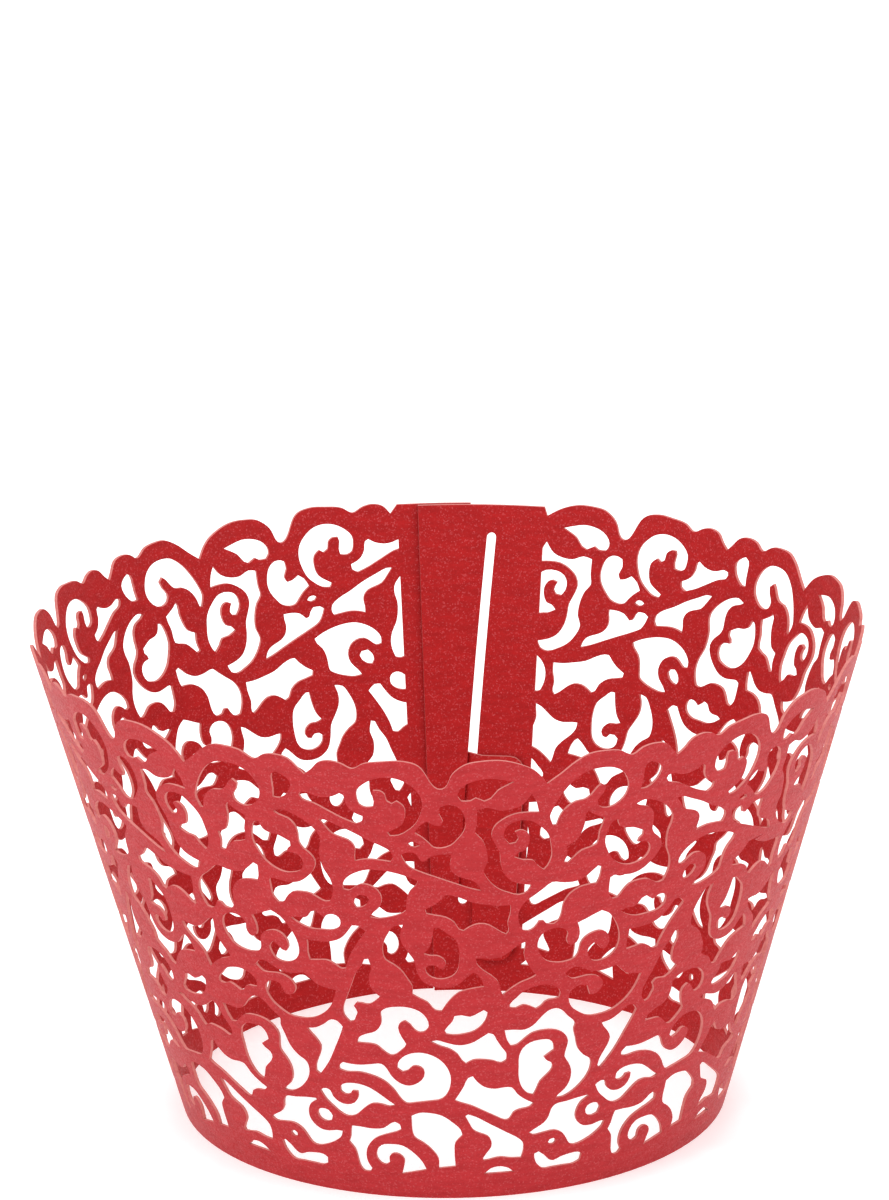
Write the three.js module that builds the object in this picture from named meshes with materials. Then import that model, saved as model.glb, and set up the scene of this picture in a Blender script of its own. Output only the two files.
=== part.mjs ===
import * as THREE from 'three';

// Cupcake wrapper: one sheet of red pearl card, laser-cut into a vine lattice with a scalloped rim,
// rolled into a cone and closed by a tab that passes through a long slit at the back.
// Millimetres, +Z up. The base edge stands on z = 0, the front faces -Y and the seam is near +Y.

// The rolled cone and its card
const RIM_DIAMETER = 80;
const BASE_DIAMETER = 53.2;
const HEIGHT = 48.4;
const CARD = 0.3;
const BAND = 2.8;

// Places round the cone, in degrees from +X, anticlockwise seen from above
const FRONT_REPEAT = -77;
const REPEAT_TURN = 51.2;
const PANEL_END = 94;
const PANEL_LATTICE = 75.2;
const OUTER_LATTICE = -263;
const OUTER_RISE = 28;

// The slit in the inner end of the sheet, and the outer end with its tab
const PANEL_DROP = 1.2;
const SLIT_WIDTH = 1.2;
const SLIT_TOP_TURN = 83;
const SLIT_FOOT_TURN = 87.7;
const SLIT_FOOT = 8.8;
const SLIT_TOP_MARGIN = 3.2;
const LAYER_GAP = 0.3;
const OUTER_END_SETBACK = 2.5;
const NECK_CLEARANCE = 1.5;
const NECK_HEIGHT = 14;
const TAB_LENGTH = 5;
const TAB_HOOK = 7;
const TAB_CORNER = 1.6;

const EDGE_STEP = 8;

// The drawing of one repeat is as tall in millimetres as the sheet, and as wide as its scallops.
const DRAWN_BAND = 2.8;
const DRAWN_TIP = 50.3;

const RIM_SCALLOPS = [
  [-8.3, 47.4], [-7.4, 49], [-6, 50.2], [-3.7, 50.3], [-1.7, 49.5], [0, 47.4], [2.2, 49.5], [4.4, 50.3],
  [6.9, 49.4], [8.8, 50.2], [11, 48.4], [13.1, 50.1], [14.9, 49.4], [17.3, 50.3], [20, 49.9],
  [21.7, 47.4],
];

// Each hole of one repeat, as [across, up] points: first the row under the rim
const RIM_HOLES = {
  crescent: [[-2.6, 47.9], [-4.5, 48.4], [-6.3, 47.9], [-7, 46.4], [-6.2, 45.9], [-4.6, 46], [-3.9, 47]],
  hookedArch: [
    [0.4, 43.8], [1.6, 46.7], [3.3, 48.3], [5.3, 48.3], [6.9, 46.4], [6.2, 44.2], [4.4, 44.4],
    [4.8, 46.7], [3.7, 45.6], [1.9, 44.7], [0.9, 42.7],
  ],
  drop: [[8, 45.4], [8.2, 48.2], [9.6, 47.6], [9.1, 45.8]],
  underLeaf: [[10.3, 46.1], [12.3, 46], [13.8, 46.6], [14.2, 45], [15.4, 44], [14.7, 43.3], [12.4, 44.6]],
  curledArch: [
    [15.1, 46.4], [16, 48.1], [17.6, 48.6], [19.4, 47.7], [20.1, 45.2], [19.1, 42.9], [17.4, 42.1],
    [18.7, 44.2], [18.3, 46.1], [16.8, 47.1], [15.9, 45.2],
  ],
  ringWithSpur: [
    [-8.4, 45.4], [-7.3, 45.5], [-6.4, 43.5], [-7.4, 41.2], [-9.1, 40.9], [-10.5, 42.4], [-9.6, 43.7],
    [-8.3, 43.5],
  ],
  besideRing: [
    [-5.5, 45.1], [-5.6, 42.3], [-4.8, 37.6], [-2.8, 35.5], [-1, 35.9], [-2.7, 37], [-3.6, 39.8],
    [-4.3, 42.2], [-3.2, 44], [-0.5, 44.3], [-1.2, 46.4], [-2.3, 44.9],
  ],
  ringCurl: [
    [-3.3, 42.4], [-2.4, 43.5], [-0.6, 43.1], [0.8, 40.2], [0.2, 37.8], [-0.9, 39.1], [-2.4, 39.5],
    [-1.2, 41.1], [-1.9, 42.5], [-2.7, 41],
  ],
  underArch: [[3.6, 43.9], [5.1, 42.8], [4.7, 40], [3.2, 39.3], [2, 38.3], [2.1, 40.4], [3.3, 42]],
  overStem: [[11.7, 43.5], [14.5, 42.3], [17.5, 40.3], [17.4, 39.2], [14.4, 39.1], [14.3, 41.1], [12.6, 42]],
};

// The middle of the sheet, from the berries down to the long stems
const MIDDLE_HOLES = {
  heart: [
    [5.4, 40.4], [6.2, 42.5], [7, 41.3], [8.9, 40.6], [8.5, 39.4], [9.8, 38.7], [9.1, 37.2], [7.3, 37.2],
    [5.8, 38.8],
  ],
  besideHeart: [
    [7.8, 43.8], [9.7, 43.8], [11.6, 41.5], [11.4, 39.2], [12.2, 36], [11.4, 34.2], [9.3, 35], [7, 33.4],
    [6.4, 36.1], [9.1, 36.1], [10.9, 38.4], [9.8, 40.4], [9.4, 42.9],
  ],
  wedge: [
    [-11.7, 39.9], [-10.6, 40.3], [-9.9, 39.3], [-9.2, 39.9], [-7.6, 40.1], [-7.5, 38.1], [-5.7, 37],
    [-5.1, 35.9], [-11.2, 38.7],
  ],
  roundBerry: [
    [13.1, 36.2], [14.2, 37.7], [16.6, 38.2], [19.6, 37.1], [18.5, 35], [18.3, 33.5], [15.2, 32.8],
    [16.4, 34.9], [15.2, 36.5], [13.6, 35.7],
  ],
  berryEye: [[13.9, 34.2], [14.4, 35.3], [15.3, 34.9], [14.5, 33.9]],
  hammock: [
    [-9.9, 33.6], [-8, 35.5], [-4.8, 34.3], [-2.5, 34.1], [-2.7, 30.9], [-4.8, 32.1], [-6.6, 31.4], [-8.2, 33],
  ],
  swan: [
    [5.3, 37.5], [3.4, 36.1], [1, 36.3], [-1.6, 34], [-1.2, 31], [0.3, 32], [1.7, 31.6], [2.3, 34],
    [3.4, 35.3], [5.2, 35.6],
  ],
  doubleCurl: [
    [0.1, 29.3], [1.2, 31], [2.8, 30.5], [3.2, 28.8], [4, 29.8], [3.7, 31.3], [5.9, 32.3], [7.8, 30],
    [7.8, 27.4], [6.1, 26.5], [5, 27.8], [6.6, 27.8], [6.8, 29.3], [5.7, 30], [4.3, 29], [3.8, 27.4],
    [1.2, 27.2],
  ],
  smile: [[7.8, 31.8], [9.4, 32.2], [10.3, 33], [11, 32.4], [12.3, 32.6], [12.1, 31.2], [9.5, 30.9]],
  kite: [[9, 29.5], [11.8, 29.8], [14.2, 31.8], [12.2, 26.6], [10.7, 27.4], [8.9, 27.2]],
  star: [
    [-1, 29.8], [-3.1, 28.3], [-5.5, 28.2], [-3.6, 25.7], [-2.9, 23.8], [-1.3, 25.1], [0.2, 25.8], [-1.1, 28.3],
  ],
  besideBud: [
    [-11.9, 32.1], [-13.4, 31], [-13.8, 28.1], [-12.1, 26.5], [-11.4, 24.1], [-9, 22.2], [-7.8, 23.7],
    [-4.7, 24.9], [-5.6, 26.6], [-7.6, 25.1], [-9.8, 25.2], [-11.1, 28], [-12.2, 30.3],
  ],
  hookedRing: [
    [-9.1, 31.8], [-7.3, 30.4], [-7, 27.5], [-8.2, 26], [-9.8, 26.3], [-9.8, 27.5], [-8.6, 27.1],
    [-8.4, 28.3], [-10.1, 28.7], [-9.4, 30.5],
  ],
  overBud: [[-2.2, 22.4], [-0.8, 24.1], [1.2, 24.6], [2.7, 23.4], [1.6, 22.8], [0.5, 21.9], [-0.8, 22.5]],
  podLeft: [[-8.5, 19.7], [-7.5, 21.6], [-6, 21.5], [-4.3, 22.1], [-4.9, 20.4], [-6.8, 19.4]],
  bigCurl: [
    [3, 25.5], [4.1, 26.2], [8.1, 25.6], [9.3, 24.5], [11.2, 24], [10, 21.6], [7.2, 20.2], [4.9, 20.8],
    [3.6, 22.7], [4.5, 24], [5.9, 22.7], [7, 23.6], [6.2, 24.8], [4, 24.9],
  ],
  stemSide: [
    [14.5, 28], [12.7, 24.5], [11.7, 21.7], [12.3, 20.5], [13.1, 22.6], [14.4, 22.7], [15.5, 23.7],
    [14.6, 25.3], [14.9, 27.4],
  ],
};

// The lower part, down to the plain band
const LOWER_HOLES = {
  crook: [
    [15.4, 21.9], [17.4, 22.6], [19.5, 21.8], [19.7, 19.9], [18.6, 19.9], [17.6, 21], [17, 19.9], [17.6, 18],
    [16.2, 16.9], [14.6, 18], [12.7, 18.2], [15, 19.9],
  ],
  longArmCurl: [
    [10.4, 14.6], [11, 15.6], [15, 15.8], [16.4, 13.9], [18.4, 13.5], [19.1, 15.5], [16.7, 15.2],
    [18, 17.2], [20.4, 16.9], [22, 14.7], [21.4, 12.2], [17.4, 11.3], [15.6, 13.4], [13, 14.6],
  ],
  underPod: [[-9.9, 18.6], [-7.1, 18.2], [-4.2, 19.5], [-2.3, 16.6], [-4.6, 16.4], [-6.4, 16], [-7.6, 17.5]],
  tallArch: [
    [-2.6, 19.7], [-0.4, 19.6], [1.6, 21.5], [2.9, 21.5], [4.6, 19.5], [5, 17], [6.8, 15], [6.4, 12.7],
    [3.4, 11], [4.7, 13.2], [3.9, 15.8], [3.8, 18.2], [1.6, 19.3], [-0.5, 18.6], [-1.7, 17.8],
  ],
  bean: [
    [-1, 15.3], [-0.6, 17.6], [1, 18.2], [2.6, 17.2], [1.7, 16.1], [2.6, 14.9], [1.3, 13.2], [0.7, 11.8],
    [-0.6, 13],
  ],
  dagger: [[7.5, 19.1], [10.5, 20.5], [11.4, 19.8], [8.1, 13.8], [7.8, 14.9], [8.7, 17.2]],
  vee: [[-7.6, 11.7], [-6, 14.5], [-4, 13], [-1.7, 13], [0.9, 10.8], [-1, 10], [-1.9, 9.1], [-4.3, 10.2]],
  fish: [
    [7.8, 11.8], [8.7, 12.2], [9.5, 11], [11.2, 10.7], [12.1, 12.1], [10.4, 12], [10.9, 13.1], [13.2, 13],
    [16, 10.9], [13.4, 11], [10.9, 9.2],
  ],
  lowBerry: [[7, 9], [7.5, 9.7], [8.5, 9.5], [8.8, 8.8], [7.7, 8.2]],
  roundLowBerry: [
    [0.6, 7.3], [2.5, 8.6], [3.3, 10.3], [7.2, 10.8], [5.9, 9.2], [6.4, 7.6], [9.7, 7.2], [8.3, 5.7],
    [5.7, 5.2], [4.5, 6.8], [2.2, 7.1],
  ],
  boat: [[1.4, 4.8], [2.6, 4.4], [3.6, 3.6], [5.2, 4.1], [7.2, 3.9], [6.5, 2.8], [2.6, 2.9]],
  footLeft: [
    [10.3, 6.1], [10.9, 8.1], [13.4, 8], [16.1, 9], [16.2, 7.9], [13.4, 6.8], [12.2, 4.6], [12.4, 2.8],
    [11.6, 2.8],
  ],
  footCurl: [
    [13.4, 4.7], [14.3, 6.1], [16.5, 6.2], [18.4, 4.8], [19.1, 2.8], [16.2, 2.8], [16.5, 4.5], [15.4, 5.2],
    [14.6, 3.8],
  ],
  footBell: [
    [17.7, 9.7], [20.4, 10.2], [23.1, 8], [22.4, 6.4], [22.3, 2.8], [20.4, 2.8], [20.3, 5], [17.9, 7.3],
  ],
  footLeaf: [[-6.5, 9.9], [-4, 8.8], [0, 6.2], [-0.1, 4.4], [-4.4, 4.4], [-3.6, 6.4], [-5.6, 8.1]],
};

const RIM_RADIUS = RIM_DIAMETER / 2;
const BASE_RADIUS = BASE_DIAMETER / 2;
const SLANT = Math.hypot(HEIGHT, RIM_RADIUS - BASE_RADIUS);
const APEX = BASE_RADIUS * SLANT / (RIM_RADIUS - BASE_RADIUS);
const FAN = (RIM_RADIUS - BASE_RADIUS) / SLANT;
const PANEL_TOP = SLANT - PANEL_DROP;
const SLIT_TOP = SLANT - SLIT_TOP_MARGIN;
const LAYER = CARD + LAYER_GAP;
const DRAWN_WIDTH = RIM_SCALLOPS.at(-1)[0] - RIM_SCALLOPS[0][0];

// The copies of the drawing that reach the lattice, with one to spare at each end
const repeats = [];
const lastRepeat = Math.ceil((PANEL_LATTICE - FRONT_REPEAT) / REPEAT_TURN) + 1;
for (let repeat = Math.floor((OUTER_LATTICE - FRONT_REPEAT) / REPEAT_TURN) - 1; repeat <= lastRepeat; repeat++) {
  repeats.push(repeat);
}

// The sheet is drawn in [turn, up]: degrees round the cone and millimetres up its slope from the base.
const radiusAt = (up) => BASE_RADIUS + up * FAN;
const turnOf = (width, up) => THREE.MathUtils.radToDeg(width / radiusAt(up));
const seamTurn = (up) => {
  const share = (up - SLIT_FOOT) / (SLIT_TOP - SLIT_FOOT);
  return THREE.MathUtils.lerp(SLIT_FOOT_TURN, SLIT_TOP_TURN, share);
};
const besideSeam = (width, up) => [seamTurn(up) + turnOf(width, up), up];
const oneTurnBack = ([turn, up]) => [turn - 360, up];

function fromDrawing([across, drawnUp], repeat) {
  const stretch = (SLANT - BAND) / (DRAWN_TIP - DRAWN_BAND);
  const turn = FRONT_REPEAT + REPEAT_TURN * (repeat + across / DRAWN_WIDTH);
  return [turn, BAND + (drawnUp - DRAWN_BAND) * stretch];
}

// Cuts an outline along a line of equal turn and keeps the pieces on the wanted side of it.
function keptPieces(outline, limit, side) {
  const inside = ([turn]) => (limit - turn) * side > 0;
  if (outline.every(inside)) return [outline];
  const start = outline.findIndex((point) => !inside(point));
  if (!outline.some(inside)) return [];
  const chains = [];
  let chain = null;
  for (let step = 0; step < outline.length; step++) {
    const here = outline[(start + step) % outline.length];
    const next = outline[(start + step + 1) % outline.length];
    if (inside(here) === inside(next)) {
      if (inside(next)) chain.push(next);
      continue;
    }
    const share = (limit - here[0]) / (next[0] - here[0]);
    const crossing = [limit, THREE.MathUtils.lerp(here[1], next[1], share)];
    if (inside(next)) {
      chain = [crossing, next];
      chains.push(chain);
    } else {
      chain.push(crossing);
    }
  }
  const ends = chains.flatMap((points, index) => [
    { index, first: true, up: points[0][1] },
    { index, first: false, up: points[points.length - 1][1] },
  ]).sort((p, q) => p.up - q.up);
  const partner = (index) => {
    const place = ends.findIndex((end) => end.index === index && !end.first);
    return ends[place % 2 === 0 ? place + 1 : place - 1].index;
  };
  const pieces = [];
  const used = new Set();
  chains.forEach((_, first) => {
    if (used.has(first)) return;
    const piece = [];
    for (let index = first; !used.has(index); index = partner(index)) {
      used.add(index);
      piece.push(...chains[index]);
    }
    pieces.push(piece);
  });
  return pieces;
}

// The flat sheet is a fan about the cone's apex; lengths and areas are true in it.
function flat([turn, up]) {
  const angle = THREE.MathUtils.degToRad(turn * FAN);
  return new THREE.Vector2((APEX + up) * Math.sin(angle), (APEX + up) * Math.cos(angle));
}

const area = (outline) => Math.abs(THREE.ShapeUtils.area(outline.map(flat)));

function latticeHoles() {
  const SMALLEST = 0.6;
  const drawn = Object.values({ ...RIM_HOLES, ...MIDDLE_HOLES, ...LOWER_HOLES });
  return repeats
    .flatMap((repeat) => drawn.map((outline) => outline.map((point) => fromDrawing(point, repeat))))
    .flatMap((outline) => keptPieces(outline, PANEL_LATTICE, 1))
    .flatMap((piece) => keptPieces(piece, OUTER_LATTICE, -1))
    .filter((piece) => area(piece) > SMALLEST);
}

function slit() {
  const half = SLIT_WIDTH / 2;
  const levels = [SLIT_FOOT + half, (SLIT_FOOT + SLIT_TOP) / 2, SLIT_TOP - half];
  return [
    besideSeam(0, SLIT_FOOT),
    ...levels.map((up) => besideSeam(half, up)),
    besideSeam(0, SLIT_TOP),
    ...levels.reverse().map((up) => besideSeam(-half, up)),
  ];
}

function scallops() {
  const margin = turnOf(CARD, SLANT);
  return repeats
    .flatMap((repeat) => RIM_SCALLOPS.slice(0, -1).map((point) => fromDrawing(point, repeat)))
    .filter(([turn]) => turn > OUTER_LATTICE + margin && turn < PANEL_LATTICE - margin);
}

// The tab: a neck that dips through the slit between two creases, then a tongue with a hook below.
const NECK_FOOT = SLIT_FOOT + NECK_CLEARANCE;
const NECK_TOP = NECK_FOOT + NECK_HEIGHT;
const neckPoints = (width) => [NECK_FOOT, NECK_TOP].map((up) => oneTurnBack(besideSeam(width, up)));
const outerCrease = neckPoints(LAYER);
const innerCrease = neckPoints(-LAYER);

function mainOutline() {
  const outerFoot = oneTurnBack(besideSeam(OUTER_END_SETBACK, 0));
  const base = [];
  const steps = Math.ceil((PANEL_END - outerFoot[0]) / EDGE_STEP);
  for (let step = 0; step < steps; step++) {
    base.push([THREE.MathUtils.lerp(PANEL_END, outerFoot[0], step / steps), 0]);
  }
  const outerEnd = [NECK_FOOT, NECK_TOP].map((up) => oneTurnBack(besideSeam(OUTER_END_SETBACK, up)));
  return [
    ...base,
    outerFoot,
    outerEnd[0],
    ...outerCrease,
    outerEnd[1],
    oneTurnBack(besideSeam(OUTER_END_SETBACK, PANEL_TOP)),
    [OUTER_LATTICE, PANEL_TOP],
    ...scallops(),
    [PANEL_LATTICE, PANEL_TOP],
    [(PANEL_LATTICE + PANEL_END) / 2, PANEL_TOP],
    [PANEL_END, PANEL_TOP],
    [PANEL_END, PANEL_TOP / 2],
  ];
}

function tongueOutline() {
  const root = LAYER + SLIT_WIDTH / 2;
  const tip = LAYER + TAB_LENGTH;
  const hookFoot = NECK_FOOT - TAB_HOOK;
  const at = (width, up) => oneTurnBack(besideSeam(-width, up));
  return [
    innerCrease[0],
    at(root, NECK_FOOT),
    at(root + TAB_CORNER / 2, hookFoot),
    at(tip - TAB_CORNER, hookFoot),
    at(tip, hookFoot + TAB_CORNER),
    at(tip, NECK_TOP - TAB_CORNER),
    at(tip - TAB_CORNER, NECK_TOP),
    innerCrease[1],
  ];
}

// Shared corners of the sheet's regions, each found by its place
const corners = [];
const cornerIndex = new Map();
function corner(point) {
  const name = point.map((value) => value.toFixed(6)).join(' ');
  if (!cornerIndex.has(name)) {
    cornerIndex.set(name, corners.length);
    corners.push(point);
  }
  return cornerIndex.get(name);
}

const turning = (a, b, c) => (b.x - a.x) * (c.y - a.y) - (b.y - a.y) * (c.x - a.x);

// Fills an outline round its holes with triangles that all run anticlockwise in the flat sheet.
// A slight bow keeps the corners that lie along one line of equal turn from being skipped.
function filled(outline, holes) {
  const BOW = 1e-6;
  const bowed = ([turn, up]) => flat([turn + BOW * up * up, up]);
  const all = [outline, ...holes].flat().map(corner);
  const faces = THREE.ShapeUtils.triangulateShape(outline.map(bowed), holes.map((hole) => hole.map(bowed)))
    .map((face) => face.map((place) => all[place]));
  const areas = faces.map((face) => turning(...face.map((place) => flat(corners[place]))));
  return areas.reduce((sum, value) => sum + value) > 0 ? faces : faces.map(([a, b, c]) => [a, c, b]);
}

// Swaps the shared edge of two triangles wherever that makes them less thin, apart from creases.
function evened(faces) {
  const spots = corners.map(flat);
  const crease = new Set([outerCrease, innerCrease].map((line) => line.map(corner).sort().join('-')));
  const list = faces.map((face) => [...face]);
  const FLAT = 1e-6;
  const inCircle = (a, b, c, d) => {
    const rows = [a, b, c].map((p) => [p.x - d.x, p.y - d.y, (p.x - d.x) ** 2 + (p.y - d.y) ** 2]);
    return new THREE.Matrix3().set(...rows.flat()).determinant() > 1e-9;
  };
  let swapped = true;
  while (swapped) {
    swapped = false;
    const touched = new Set();
    const edges = new Map();
    list.forEach((face, index) => {
      face.forEach((from, side) => {
        const to = face[(side + 1) % 3];
        const name = [from, to].sort().join('-');
        if (crease.has(name)) return;
        if (!edges.has(name)) {
          edges.set(name, [index, side]);
          return;
        }
        const [other, otherSide] = edges.get(name);
        if (touched.has(index) || touched.has(other)) return;
        const far = face[(side + 2) % 3];
        const near = list[other][(otherSide + 2) % 3];
        if (!inCircle(spots[from], spots[to], spots[far], spots[near])) return;
        if (turning(spots[far], spots[from], spots[near]) <= FLAT) return;
        if (turning(spots[near], spots[to], spots[far]) <= FLAT) return;
        list[index] = [far, from, near];
        list[other] = [near, to, far];
        touched.add(index).add(other);
        swapped = true;
      });
    });
  }
  return list;
}

// How far the card lies outside the plain cone: nothing, except in the outer layer and the tab
function layerOffset(turn, up) {
  const past = seamTurn(up) - 360 - turn;
  const bend = turnOf(LAYER, up);
  if (past > -bend) return THREE.MathUtils.clamp(-past / bend, -1, 1) * LAYER;
  const rise = (OUTER_LATTICE + OUTER_RISE - turn) / OUTER_RISE;
  return THREE.MathUtils.smoothstep(rise, 0, 1) * LAYER;
}

function rolled([turn, up], side) {
  const angle = THREE.MathUtils.degToRad(turn);
  const radius = radiusAt(up) + layerOffset(turn, up) + side * CARD / 2;
  return [radius * Math.cos(angle), radius * Math.sin(angle), up * HEIGHT / SLANT];
}

// Rolls the flat sheet up and gives it the card's thickness, with a wall along every cut edge.
function rolledSheet(faces) {
  const outside = corners.map((point) => rolled(point, 1));
  const inside = corners.map((point) => rolled(point, -1));
  const count = corners.length;
  const open = new Map();
  const index = [];
  for (const [a, b, c] of faces) {
    index.push(a, b, c, a + count, c + count, b + count);
    for (const [from, to] of [[a, b], [b, c], [c, a]]) {
      if (!open.delete(`${to}-${from}`)) open.set(`${from}-${to}`, [from, to]);
    }
  }
  for (const [from, to] of open.values()) {
    index.push(to, from, from + count, to, from + count, to + count);
  }
  const geometry = new THREE.BufferGeometry();
  geometry.setAttribute('position', new THREE.Float32BufferAttribute([...outside, ...inside].flat(), 3));
  geometry.setIndex(index);
  geometry.computeVertexNormals();
  return geometry;
}

function wrapperGeometry() {
  const faces = [
    ...filled(mainOutline(), [slit(), ...latticeHoles()]),
    ...filled([...outerCrease, innerCrease[1], innerCrease[0]], []),
    ...filled(tongueOutline(), []),
  ];
  return rolledSheet(evened(faces));
}

const pearlCard = new THREE.MeshStandardMaterial({ color: 0xc2272f, roughness: 0.5, metalness: 0.15 });

const wrapper = new THREE.Mesh(wrapperGeometry(), pearlCard);
wrapper.name = 'wrapper';

const cupcakeWrapper = new THREE.Group();
cupcakeWrapper.add(wrapper);

export default cupcakeWrapper;
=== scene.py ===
# %% [markdown]
# # A cupcake wrapper cut from red pearl card
# The wrapper is one flat sheet of card. A laser cuts a lattice of vines, leaves and berries into
# it, and a row of scallops along its top. The sheet is rolled into a cone, and a tab at its outer
# end goes through a long slit at its inner end. This lesson follows the same order: draw the cut
# lines, fill them, give the flat sheet its thickness, roll it, and finish the card.

# %% Load the shared frame
import bpy
from math import ceil, cos, degrees, floor, hypot, pi, radians, sin
from mathutils import Matrix, Vector
from mathutils.geometry import interpolate_bezier


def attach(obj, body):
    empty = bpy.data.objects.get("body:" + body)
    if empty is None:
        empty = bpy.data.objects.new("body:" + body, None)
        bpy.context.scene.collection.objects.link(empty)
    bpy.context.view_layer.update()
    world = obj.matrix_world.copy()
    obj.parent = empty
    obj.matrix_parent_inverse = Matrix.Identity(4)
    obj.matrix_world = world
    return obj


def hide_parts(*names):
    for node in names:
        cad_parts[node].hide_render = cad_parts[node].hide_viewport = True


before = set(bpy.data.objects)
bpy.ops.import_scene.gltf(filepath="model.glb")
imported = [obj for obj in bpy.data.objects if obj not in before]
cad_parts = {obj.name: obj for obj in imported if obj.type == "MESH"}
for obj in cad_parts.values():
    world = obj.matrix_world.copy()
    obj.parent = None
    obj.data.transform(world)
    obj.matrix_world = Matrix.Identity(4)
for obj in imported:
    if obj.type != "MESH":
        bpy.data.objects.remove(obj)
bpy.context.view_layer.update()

# %% [markdown]
# ## The camera
# The photograph was taken from well in front and a little above, with a long lens: the rim is a
# flat oval and the sides hardly converge. The camera's place, how far it looks down, how much it
# leans and how long its lens is were all fitted to the ovals of the rim and the base.

# %% Camera
CAMERA_PLACE = (-0.0002, -0.5645, 0.2347)
LOOKS_DOWN = 18.05
LEANS = -0.9
LENS_MM = 185.4

camera_data = bpy.data.cameras.new("camera")
camera_data.lens = LENS_MM
camera = bpy.data.objects.new("camera", camera_data)
bpy.context.collection.objects.link(camera)
camera.matrix_world = (
    Matrix.Translation(CAMERA_PLACE)
    @ Matrix.Rotation(radians(90 - LOOKS_DOWN), 4, "X")
    @ Matrix.Rotation(radians(LEANS), 4, "Z")
)
bpy.context.scene.camera = camera
print("The camera is", round(Vector(CAMERA_PLACE).length, 3), "m from the middle of the base")

# %% [markdown]
# ## The size of the rolled sheet
# A place on the card is given by two numbers: its turn round the cone in degrees, anticlockwise
# from +X, and how far up the slanting side it is, in millimetres. Both stay true when the sheet
# is unrolled, so the whole cutting pattern can be drawn flat with them.

# %% Sizes in millimetres and degrees
RIM_DIAMETER = 80
BASE_DIAMETER = 53.2
HEIGHT = 48.4
CARD = 0.3
BAND = 2.8
FULL_TURN = 360

RIM_RADIUS = RIM_DIAMETER / 2
BASE_RADIUS = BASE_DIAMETER / 2
SLANT = hypot(HEIGHT, RIM_RADIUS - BASE_RADIUS)
FLARE = (RIM_RADIUS - BASE_RADIUS) / SLANT


def radius_at(up):
    return BASE_RADIUS + up * FLARE


def turn_of(width, up):
    return degrees(width / radius_at(up))


print("Slanting side", round(SLANT, 2), "mm, round the rim", round(RIM_DIAMETER * pi), "mm")

# %% [markdown]
# ## The drawing of one repeat
# The pattern is one drawing that repeats about seven times round the wrapper. Its holes are what
# the laser takes out, and the vines are what it leaves. One repeat is drawn 30 units wide and as
# tall as the sheet in millimetres, and each hole is a short list of points (across, up). The
# holes come in three rows, and each has a name for what it looks like.

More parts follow.
